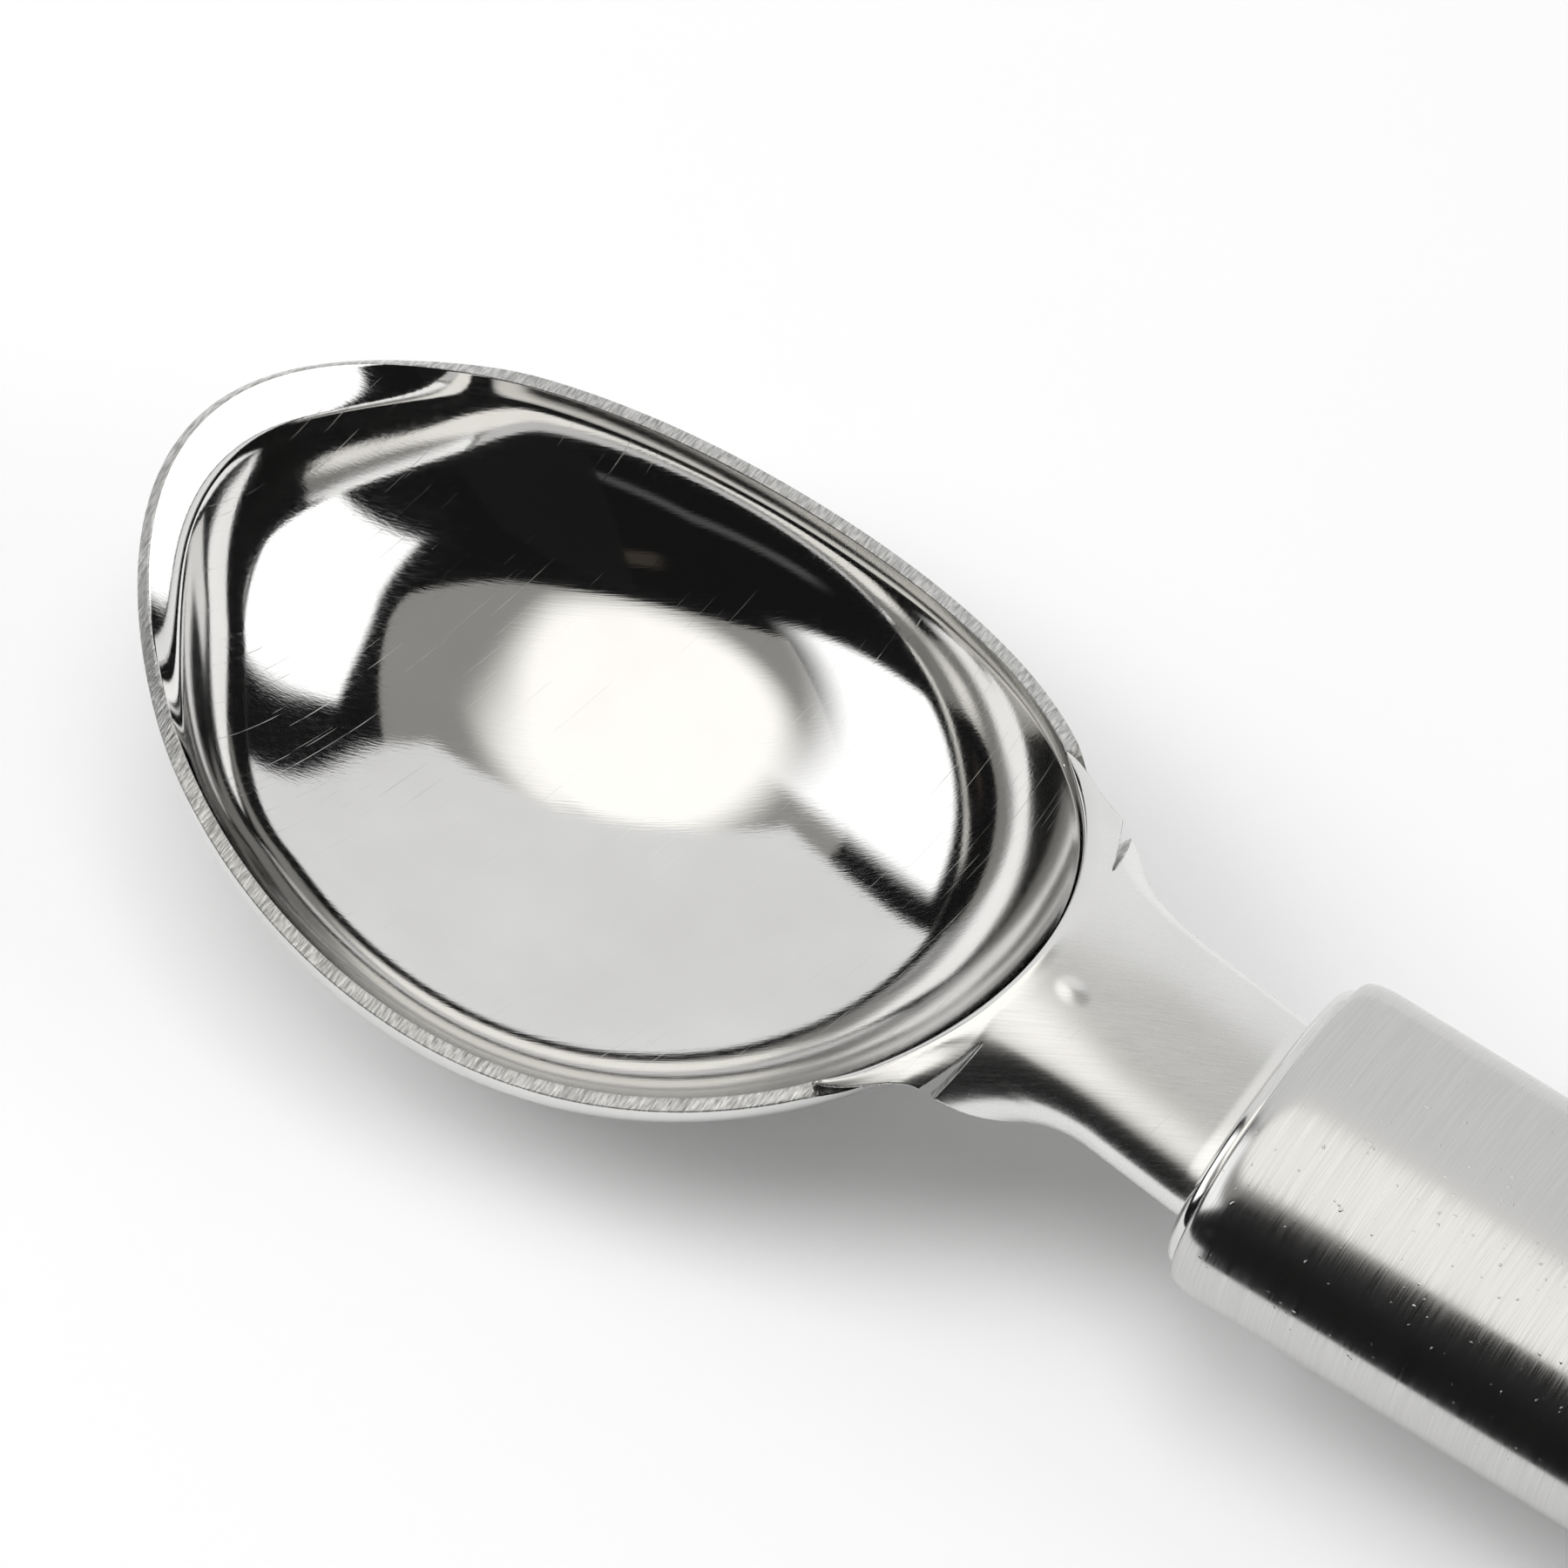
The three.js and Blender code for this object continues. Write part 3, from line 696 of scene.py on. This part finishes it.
def noise(tree, size, turn=0.0, detail=3.0):
    """Noise in the handle's frame, with features of a size in millimetres along each axis."""
    texture = tree.nodes.new("ShaderNodeTexNoise")
    texture.inputs["Scale"].default_value = 1.0
    texture.inputs["Detail"].default_value = detail
    tree.links.new(handle_place(tree, (0.0, 0.0, 0.0), size, turn), texture.inputs["Vector"])
    return texture.outputs["Fac"]


def spread(tree, value, ends=(0.0, 1.0), levels=NOISE_LEVELS, smooth=False):
    """A value between two levels, carried over to two ends, in a straight line or smoothly."""
    node = tree.nodes.new("ShaderNodeMapRange")
    if smooth:
        node.interpolation_type = "SMOOTHSTEP"
    for name, number in zip(("From Min", "From Max", "To Min", "To Max"), (*levels, *ends)):
        node.inputs[name].default_value = number
    tree.links.new(value, node.inputs["Value"])
    return node.outputs["Result"]


def tint(tree, value, tints):
    """Colour of a noise, from the first tint where it is low to the second where it is high."""
    ramp = tree.nodes.new("ShaderNodeValToRGB")
    for element, level, colour in zip(ramp.color_ramp.elements, NOISE_LEVELS, tints):
        element.position = level
        element.color = (*colour, 1.0)
    tree.links.new(value, ramp.inputs["Fac"])
    return ramp.outputs["Color"]


def combine(tree, operation, first, second):
    node = tree.nodes.new("ShaderNodeMath")
    node.operation = operation
    tree.links.new(first, node.inputs[0])
    tree.links.new(second, node.inputs[1])
    return node.outputs["Value"]


# Sockets of a mix node that hold its share, its two colours and its result
MIX_SHARE = 0
MIX_FIRST = 6
MIX_SECOND = 7
MIX_RESULT = 2


def blend(tree, share, first, second):
    """One colour passing over into another."""
    node = tree.nodes.new("ShaderNodeMix")
    node.data_type = "RGBA"
    tree.links.new(share, node.inputs[MIX_SHARE])
    tree.links.new(first, node.inputs[MIX_FIRST])
    tree.links.new(second, node.inputs[MIX_SECOND])
    return node.outputs[MIX_RESULT]


def bump(tree, height, depth, under=None):
    """A relief of a depth in millimetres, over another where one is given."""
    node = tree.nodes.new("ShaderNodeBump")
    node.inputs["Distance"].default_value = depth * MM
    tree.links.new(height, node.inputs["Height"])
    if under is not None:
        tree.links.new(under, node.inputs["Normal"])
    return node.outputs["Normal"]


def beyond_ridge(tree, rise):
    """Nothing in the bowl and a full rise on the neck, across an oval that follows the ridge."""
    length = tree.nodes.new("ShaderNodeVectorMath")
    length.operation = "LENGTH"
    middle = (ridge_x - RIDGE_OVAL[0], 0.0, 0.0)
    tree.links.new(handle_place(tree, middle, RIDGE_OVAL), length.inputs[0])
    return spread(tree, length.outputs["Value"], (0.0, rise), (1.0, 1.0 + RIDGE_FADE))


def polished_steel():
    material, tree, shader = new_steel("polished_steel")
    cloud = noise(tree, CLOUD_SIZE)
    streaks = noise(tree, POLISH_SIZE, turn=VIEW_AZIMUTH)
    scratches = spread(tree, noise(tree, SCRATCH_SIZE, turn=SCRATCH_TURN), levels=SCRATCH_LEVELS)
    bowl_tint, neck_tint = tint(tree, cloud, BOWL_TINTS), tint(tree, cloud, NECK_TINTS)
    colour = blend(tree, beyond_ridge(tree, 1.0), bowl_tint, neck_tint)
    bowl_rough = spread(tree, streaks, BOWL_ROUGHNESS)
    rough = combine(tree, "ADD", bowl_rough, beyond_ridge(tree, NECK_ROUGHNESS))
    relief = bump(tree, streaks, POLISH_DEPTH, bump(tree, cloud, CLOUD_DEPTH))
    tree.links.new(colour, shader.inputs["Base Color"])
    tree.links.new(rough, shader.inputs["Roughness"])
    tree.links.new(bump(tree, scratches, SCRATCH_DEPTH, relief), shader.inputs["Normal"])
    return material


def sheared_steel():
    material, tree, shader = new_steel("sheared_steel")
    tears = noise(tree, TEAR_SIZE)
    tree.links.new(tint(tree, tears, SHEARED_TINTS), shader.inputs["Base Color"])
    tree.links.new(spread(tree, tears, SHEARED_ROUGHNESS), shader.inputs["Roughness"])
    tree.links.new(bump(tree, tears, TEAR_DEPTH), shader.inputs["Normal"])
    return material


def satin_steel():
    material, tree, shader = new_steel("satin_steel")
    streaks = noise(tree, SATIN_SIZE)
    specks = spread(tree, noise(tree, SPECK_SIZE, detail=1.0), levels=SPECK_LEVELS)
    relief = bump(tree, streaks, SATIN_DEPTH)
    tree.links.new(tint(tree, streaks, SATIN_TINTS), shader.inputs["Base Color"])
    tree.links.new(spread(tree, streaks, SATIN_ROUGHNESS), shader.inputs["Roughness"])
    tree.links.new(bump(tree, specks, SPECK_DEPTH, relief), shader.inputs["Normal"])
    return material


def cap_steel():
    material, tree, shader = new_steel("cap_steel")
    streaks = noise(tree, CAP_GRAIN_SIZE)
    tree.links.new(tint(tree, streaks, CAP_TINTS), shader.inputs["Base Color"])
    tree.links.new(spread(tree, streaks, CAP_ROUGHNESS), shader.inputs["Roughness"])
    tree.links.new(bump(tree, streaks, CAP_GRAIN_DEPTH), shader.inputs["Normal"])
    return material


def inner_steel():
    material, tree, shader = new_steel("inner_steel")
    cloud = noise(tree, INNER_CLOUD_SIZE)
    tree.links.new(tint(tree, cloud, INNER_TINTS), shader.inputs["Base Color"])
    tree.links.new(spread(tree, cloud, INNER_ROUGHNESS), shader.inputs["Roughness"])
    return material


# Pieces
skin_finish = polished_steel()
cap_finish = cap_steel()

points, faces, kinds = thick_sheet()
bowl = new_piece("bowl_and_neck_sheet", points, faces, [skin_finish, sheared_steel()], kinds)
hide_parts("bowl_and_neck")

tube = new_piece("handle_tube_skin", *handle_tube(), [satin_steel()])
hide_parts("handle_tube")

front_cap = new_piece("front_cap_body", *cap(lambda depth: depth, slot_outline(SEAM)), [cap_finish])
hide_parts("front_cap")

rear_cap = new_piece("rear_cap_body", *cap(lambda depth: HANDLE_LENGTH - depth), [cap_finish])
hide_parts("rear_cap")

eyelet = new_piece("hanging_eyelet_sleeve", *hanging_eyelet(), [cap_finish])
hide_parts("hanging_eyelet")

collar = frame["nodes"]["tang_collar"]
collar.data.materials.clear()
collar.data.materials.append(inner_steel())


# Camera
def from_view(vector):
    """A direction of the fitted view, turned into the part's frame."""
    x, y, z = vector
    c, s = math.cos(VIEW_TILT), math.sin(VIEW_TILT)
    return np.array([x * c - z * s, y, x * s + z * c]) @ handle_axes


level = math.cos(VIEW_ELEVATION)
to_eye = (math.sin(VIEW_AZIMUTH) * level, -math.cos(VIEW_AZIMUTH) * level, math.sin(VIEW_ELEVATION))
back = from_view(to_eye)
right = from_view((math.cos(VIEW_AZIMUTH), math.sin(VIEW_AZIMUTH), 0.0))
up = np.cross(back, right)
eye = to_part(VIEW_PIVOT) + MM * VIEW_DISTANCE * back
aim = to_part(VIEW_PIVOT) + MM * (VIEW_RIGHT * right + VIEW_UP * up)
back = (eye - aim) / np.linalg.norm(eye - aim)
right = np.cross(up, back)
right /= np.linalg.norm(right)
up = np.cross(back, right)

lens = bpy.data.cameras.new("camera")
lens.sensor_width = SENSOR_WIDTH
lens.lens = SENSOR_WIDTH * VIEW_DISTANCE / VIEW_WIDTH
lens.clip_start = 0.05
lens.clip_end = 20.0
camera = bpy.data.objects.new("camera", lens)
camera.matrix_world = Matrix.Translation(eye) @ Matrix(np.stack([right, up, back], 1).tolist()).to_4x4()
bpy.context.scene.collection.objects.link(camera)
bpy.context.scene.camera = camera


# Studio, in metres of the part's frame, with bearings and heights around the bowl in degrees
FLOOR_DEPTH = 0.08 * MM
FLOOR_HALF = 3.0
FLOOR_TINTS = ((0.93, 0.93, 0.93), (0.94, 0.94, 0.94))
FLOOR_CLOUD_SIZE = (60.0, 60.0, 60.0)
FLOOR_ROUGHNESS = 0.9
WHITE = (1.0, 1.0, 1.0)
WARM = (1.0, 0.985, 0.94)
BROWN = (1.0, 0.85, 0.7)
UNIT_SQUARE = ((0.0, 0.0), (1.0, 0.0), (1.0, 1.0), (0.0, 1.0))
CARD_STEPS = 16
bowl_centre = to_part((bowl_x, 0.0, BOWL_FLOOR_HEIGHT))


def direction(bearing, height):
    """The way out from the bowl at a bearing and a height."""
    bearing, height = math.radians(bearing), math.radians(height)
    level = math.cos(height)
    return np.array([math.cos(bearing) * level, math.sin(bearing) * level, math.sin(height)])


def stage_mesh(name, points, faces, material, uv=None):
    mesh = bpy.data.meshes.new(name)
    mesh.from_pydata([tuple(point) for point in points], [], faces)
    mesh.materials.append(material)
    if uv is not None:
        layer = mesh.uv_layers.new(name="card")
        layer.data.foreach_set("uv", [c for face in faces for i in face for c in uv[i]])
    piece = bpy.data.objects.new(name, mesh)
    bpy.context.scene.collection.objects.link(piece)
    return piece


def floor_paint():
    material = bpy.data.materials.new("floor_paint")
    material.use_nodes = True
    tree = material.node_tree
    shader = tree.nodes["Principled BSDF"]
    shader.inputs["Roughness"].default_value = FLOOR_ROUGHNESS
    shader.inputs["Specular IOR Level"].default_value = 0.0
    cloud = noise(tree, FLOOR_CLOUD_SIZE)
    tree.links.new(tint(tree, cloud, FLOOR_TINTS), shader.inputs["Base Color"])
    return material


def card_light(name, colour):
    """A card's own light, and its place on the card as a vector."""
    material = bpy.data.materials.new(name)
    material.use_nodes = True
    tree = material.node_tree
    tree.nodes.clear()
    place = tree.nodes.new("ShaderNodeUVMap")
    place.uv_map = "card"
    light = tree.nodes.new("ShaderNodeEmission")
    light.inputs["Color"].default_value = (*colour, 1.0)
    output = tree.nodes.new("ShaderNodeOutputMaterial")
    tree.links.new(light.outputs["Emission"], output.inputs["Surface"])
    return material, tree, place.outputs["UV"], light


def glow(name, colour, strength, soft):
    """Light that fades away at the card's left, right, lower and upper edges, over shares of its size."""
    material, tree, place, light = card_light(name, colour)
    light.inputs["Strength"].default_value = strength
    split = tree.nodes.new("ShaderNodeSeparateXYZ")
    tree.links.new(place, split.inputs["Vector"])
    to_right, to_top = split.outputs["X"], split.outputs["Y"]
    shine = spread(tree, to_right, levels=(0.0, soft[0]), smooth=True)
    fades = [(to_right, (1.0, 1.0 - soft[1])), (to_top, (0.0, soft[2])), (to_top, (1.0, 1.0 - soft[3]))]
    for value, levels in fades:
        shine = combine(tree, "MULTIPLY", shine, spread(tree, value, levels=levels, smooth=True))
    clear = tree.nodes.new("ShaderNodeBsdfTransparent")
    both = tree.nodes.new("ShaderNodeMixShader")
    tree.links.new(shine, both.inputs["Fac"])
    tree.links.new(clear.outputs["BSDF"], both.inputs[1])
    tree.links.new(light.outputs["Emission"], both.inputs[2])
    tree.links.new(both.outputs["Shader"], tree.nodes["Material Output"].inputs["Surface"])
    return material


def spot_glow(name, colour, strengths, radius, soft):
    """Light of a scrim with a round bright spot in its middle, which fades over a share of its radius."""
    material, tree, place, light = card_light(name, colour)
    centred = tree.nodes.new("ShaderNodeMapping")
    centred.vector_type = "TEXTURE"
    centred.inputs["Scale"].default_value = (radius, radius, 1.0)
    disc = tree.nodes.new("ShaderNodeTexGradient")
    disc.gradient_type = "SPHERICAL"
    tree.links.new(place, centred.inputs["Vector"])
    tree.links.new(centred.outputs["Vector"], disc.inputs["Vector"])
    shine = spread(tree, disc.outputs["Fac"], strengths, (0.0, soft), smooth=True)
    tree.links.new(shine, light.inputs["Strength"])
    return material


def dim_cloth(name, strength):
    """Dark cloth, as little light as it throws back."""
    material, _, _, light = card_light(name, WHITE)
    light.inputs["Strength"].default_value = strength
    return material


def only_in_reflections(piece):
    piece.visible_camera = False
    piece.visible_diffuse = False
    piece.visible_transmission = False
    piece.visible_volume_scatter = False
    piece.visible_shadow = False


def sky_card(name, corners, distance, material, arch=0.0):
    """A card around the bowl, from its corners' bearings and heights and how far its upper edge arches."""
    corners = np.array(corners)
    points = []
    uv = []
    for j in range(CARD_STEPS + 1):
        for i in range(CARD_STEPS + 1):
            u, v = i / CARD_STEPS, j / CARD_STEPS
            weights = np.array([(1 - u) * (1 - v), u * (1 - v), u * v, (1 - u) * v])
            bearing, height = weights @ corners
            height += arch * 4 * u * (1 - u) * v
            points.append(bowl_centre + distance * direction(bearing, height))
            uv.append((u, v))
    faces = []
    for j in range(CARD_STEPS):
        for i in range(CARD_STEPS):
            k = j * (CARD_STEPS + 1) + i
            faces.append((k, k + 1, k + CARD_STEPS + 2, k + CARD_STEPS + 1))
    only_in_reflections(stage_mesh(name, points, faces, material, uv))


def flat_card(name, corners, material, uv=UNIT_SQUARE):
    only_in_reflections(stage_mesh(name, corners, [(0, 1, 2, 3)], material, uv))


def upright_card(name, left, right, height, material):
    """A card that stands on its two lower corners."""
    left, right = np.array(left), np.array(right)
    lift = np.array([0.0, 0.0, height])
    flat_card(name, [mix(left, right, u) + v * lift for u, v in UNIT_SQUARE], material)


floor_sides = (-FLOOR_HALF, FLOOR_HALF)
floor_points = [(mix(*floor_sides, u), mix(*floor_sides, v), -FLOOR_DEPTH) for u, v in UNIT_SQUARE]
stage_mesh("floor", floor_points, [(0, 1, 2, 3)], floor_paint())

# Dark cloth around and above the scoop
ROOM_DISTANCE = 2.8
room_cloth = dim_cloth("dark_cloth", strength=0.009)
dark_room = [(155.0, -1.0), (424.0, -1.0), (424.0, 90.0), (155.0, 90.0)]
sky_card("dark_room", dark_room, ROOM_DISTANCE, room_cloth)
dark_ceiling = [(60.0, 50.0), (160.0, 50.0), (160.0, 90.0), (60.0, 90.0)]
sky_card("dark_ceiling", dark_ceiling, ROOM_DISTANCE, room_cloth)

# Softboxes to the right and to the left
BOX_DISTANCE = 1.6
BOX_LIGHT = 1.5
right_box = [(-2.5, 0.5), (53.0, 0.5), (53.0, 39.0), (-1.0, 36.0)]
right_light = glow("right_softbox", WHITE, BOX_LIGHT, soft=(0.04, 0.06, 0.03, 0.05))
sky_card("right_softbox", right_box, BOX_DISTANCE, right_light, arch=9.0)
left_box = [(164.0, 17.0), (214.0, 17.0), (255.0, 54.0), (164.0, 74.0)]
left_light = glow("left_softbox", WHITE, BOX_LIGHT, soft=(0.08, 0.08, 0.06, 0.35))
sky_card("left_softbox", left_box, BOX_DISTANCE, left_light)

# Dim panel and rails on the near side
RAIL_DISTANCE = 1.7
RAIL_LIGHT = 0.09
far_panel = [(-75.0, 48.0), (-48.0, 56.0), (-44.0, 63.0), (-75.0, 56.0)]
panel_light = glow("far_panel", BROWN, strength=0.05, soft=(0.2, 0.2, 0.2, 0.2))
sky_card("far_panel", far_panel, RAIL_DISTANCE, panel_light)
near_rail = [(-80.0, 21.0), (-25.0, 6.0), (-25.0, 12.0), (-80.0, 29.0)]
near_light = glow("near_rail", WHITE, RAIL_LIGHT, soft=(0.001, 0.3, 0.5, 0.5))
sky_card("near_rail", near_rail, RAIL_DISTANCE, near_light)
side_rail = [(-115.0, 16.0), (-80.0, 21.0), (-80.0, 29.0), (-115.0, 24.0)]
side_light = glow("side_rail", WHITE, RAIL_LIGHT, soft=(0.3, 0.001, 0.5, 0.5))
sky_card("side_rail", side_rail, RAIL_DISTANCE, side_light)

# White board behind the scoop
BOARD_BEARING = 110.0
BOARD_DISTANCE = 0.7
BOARD_HALF_WIDTH = 0.82
BOARD_HEIGHT = 1.56
toward = direction(BOARD_BEARING, 0.0)
sideways = np.array([toward[1], -toward[0], 0.0])
board_foot = bowl_centre * (1, 1, 0) + BOARD_DISTANCE * toward
board_half = BOARD_HALF_WIDTH * sideways
board_light = glow("white_board", WHITE, strength=0.89, soft=(0.002, 0.002, 0.002, 0.004))
upright_card("white_board", board_foot - board_half, board_foot + board_half, BOARD_HEIGHT, board_light)

# Scrim above the scoop with a lamp behind it, its corners and the lamp's place as shares of its height
SCRIM_HEIGHT = 2.0
SCRIM_MIDDLE = np.array([-0.07, 0.09])
SCRIM_CORNERS = np.array([(0.90, 0.21), (0.02, 1.45), (-1.24, 0.72), (-0.36, -0.66)])
scrim_points = [(*(bowl_centre[:2] + SCRIM_HEIGHT * corner), SCRIM_HEIGHT) for corner in SCRIM_CORNERS]
scrim_light = spot_glow("scrim", WARM, strengths=(0.33, 1.38), radius=0.53, soft=0.38)
flat_card("scrim", scrim_points, scrim_light, SCRIM_CORNERS - SCRIM_MIDDLE)

# Dark flag along the handle's near side
FLAG_LEFT = (-0.03, -0.065, 0.0)
FLAG_RIGHT = (0.16, -0.065, 0.0)
FLAG_HEIGHT = 0.25
upright_card("near_flag", FLAG_LEFT, FLAG_RIGHT, FLAG_HEIGHT, dim_cloth("near_cloth", strength=0.012))

# Lamps, which show in no reflection
LAMP_DISTANCE = 1.5


def area_light(name, bearing, height, size, power):
    lamp = bpy.data.lights.new(name, "AREA")
    lamp.size = size
    lamp.energy = power
    light = bpy.data.objects.new(name, lamp)
    facing = Vector(direction(bearing, height))
    light.location = Vector(bowl_centre) + LAMP_DISTANCE * facing
    light.rotation_euler = facing.to_track_quat("Z", "Y").to_euler()
    light.visible_glossy = False
    bpy.context.scene.collection.objects.link(light)


area_light("key", bearing=205.0, height=42.0, size=0.9, power=10.0)
area_light("back", bearing=22.0, height=25.0, size=0.8, power=3.6)
area_light("top", bearing=160.0, height=86.0, size=1.0, power=8.0)

# A white world for the camera and for reflections, and a plain soft light for the rest
WORLD_LIGHT = 0.42
world = bpy.data.worlds.new("studio")
world.use_nodes = True
bpy.context.scene.world = world
tree = world.node_tree
path = tree.nodes.new("ShaderNodeLightPath")
seen = path.outputs["Is Camera Ray"]
for kind in ("Is Glossy Ray", "Is Transmission Ray"):
    seen = combine(tree, "MAXIMUM", seen, path.outputs[kind])
sky = tree.nodes["Background"]
sky.inputs["Color"].default_value = (*WHITE, 1.0)
tree.links.new(spread(tree, seen, (WORLD_LIGHT, 1.0), (0.0, 1.0)), sky.inputs["Strength"])

bpy.context.scene.view_settings.view_transform = "Standard"
